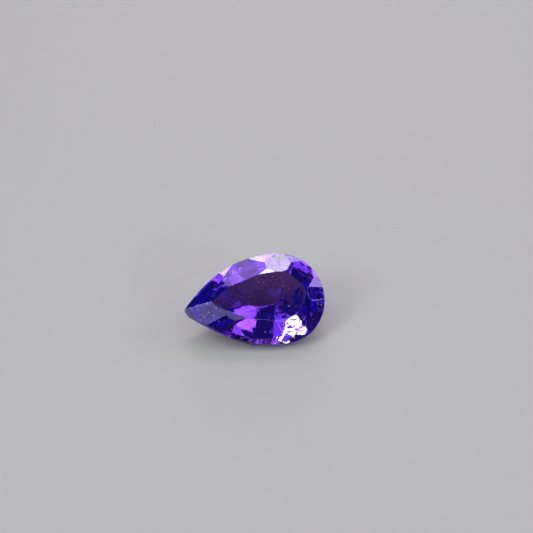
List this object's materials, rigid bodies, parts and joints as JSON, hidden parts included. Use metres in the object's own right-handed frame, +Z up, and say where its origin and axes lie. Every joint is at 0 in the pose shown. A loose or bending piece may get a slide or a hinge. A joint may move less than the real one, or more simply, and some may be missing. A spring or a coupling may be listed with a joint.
{
  "type": "cut pear gemstone",
  "caption": "Loose pear-shaped faceted violet stone with a flat table, a brilliant crown and a stepped pavilion, to be set in jewellery or shown loose.",
  "frame": {"origin": "centre of the bounding box at the surface that the stone lies on", "axes": "+Z up; +X towards the round head of the pear; +Y away from the viewer, so the table leans towards -Y and the point lies towards -X"},
  "size_m": [0.0072, 0.0042, 0.0033],
  "materials": {
    "sapphire": "polished violet crystal with a finely ground girdle"
  },
  "bodies": {
    "root": {"sapphire": "sapphire"}
  },
  "joints": []
}
